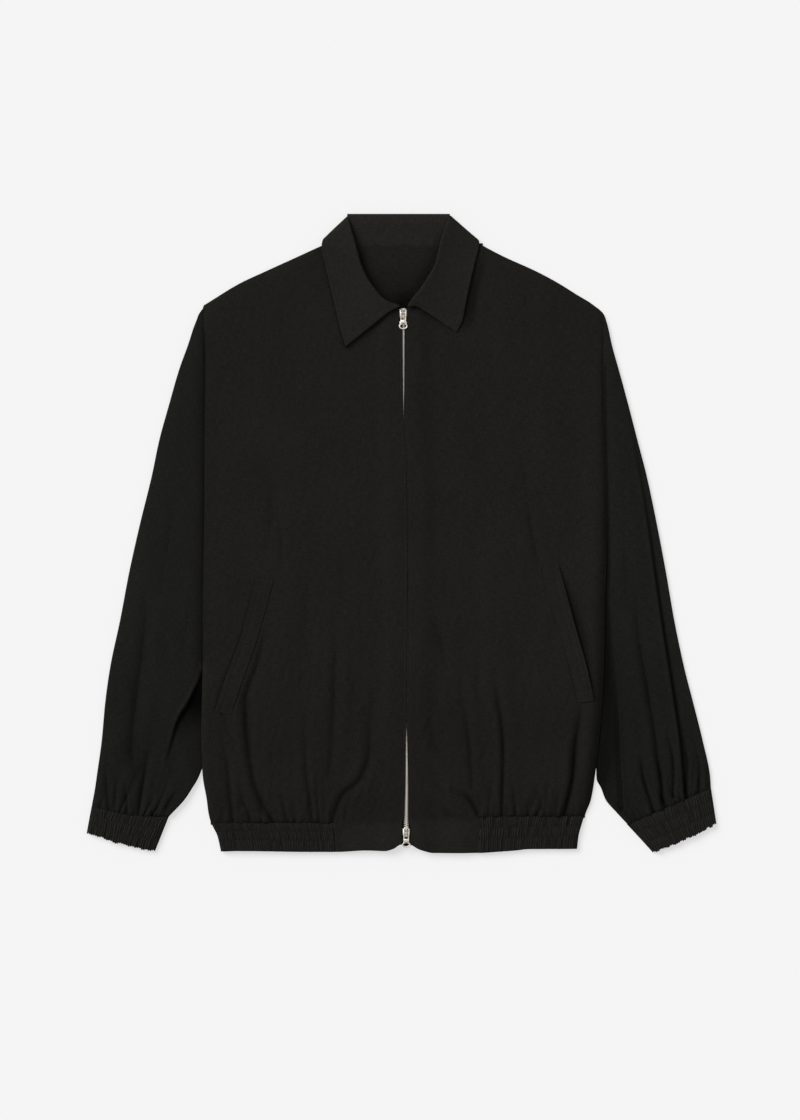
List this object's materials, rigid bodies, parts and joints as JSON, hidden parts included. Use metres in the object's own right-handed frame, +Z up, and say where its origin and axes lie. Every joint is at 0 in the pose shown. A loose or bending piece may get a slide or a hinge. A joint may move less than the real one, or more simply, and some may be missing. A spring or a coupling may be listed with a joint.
{
  "type": "bomber jacket",
  "caption": "Zip-up blouson jacket laid flat, front up, with a shirt collar, slanted welt pockets and elasticated cuffs and hem.",
  "frame": {"origin": "on the surface the jacket lies on, under the middle of its outline, within 3 mm of the zip's line", "axes": "+Z up out of the surface, through the back and then the fronts; +Y towards the collar; +X towards the wearer's left"},
  "size_m": [0.7585, 0.7674, 0.0114],
  "materials": {
    "cloth": "matt black plain weave",
    "collar_cloth": "matt black plain weave, two plies",
    "ruched_cloth": "matt black plain weave, gathered on elastic",
    "zip_tape": "black woven tape",
    "zip_metal": "polished nickel"
  },
  "bodies": {
    "jacket": {"back": "cloth", "front_right": "cloth", "front_left": "cloth", "sleeve_right": "cloth", "sleeve_left": "cloth", "cuff_right": "ruched_cloth", "cuff_left": "ruched_cloth", "hem_band": "ruched_cloth", "collar": "collar_cloth", "collar_stand": "collar_cloth", "pocket_welt_right": "cloth", "pocket_welt_left": "cloth", "zip_tape_right": "zip_tape", "zip_tape_left": "zip_tape", "zip_chain": "zip_metal", "zip_slider_top": "zip_metal", "zip_slider_bottom": "zip_metal"},
    "pull_top": {"zip_pull_top": "zip_metal"},
    "pull_bottom": {"zip_pull_bottom": "zip_metal"}
  },
  "joints": [
    {"name": "pull_top_lift", "type": "hinge", "parent": "jacket", "child": "pull_top", "pos_m": [0.0003, 0.263, 0.00845], "axis": [-1, 0, 0], "range_deg": [0, 120]},
    {"name": "pull_bottom_lift", "type": "hinge", "parent": "jacket", "child": "pull_bottom", "pos_m": [0.0039, -0.3605, 0.00845], "axis": [-1, 0, 0], "range_deg": [0, 150]}
  ]
}
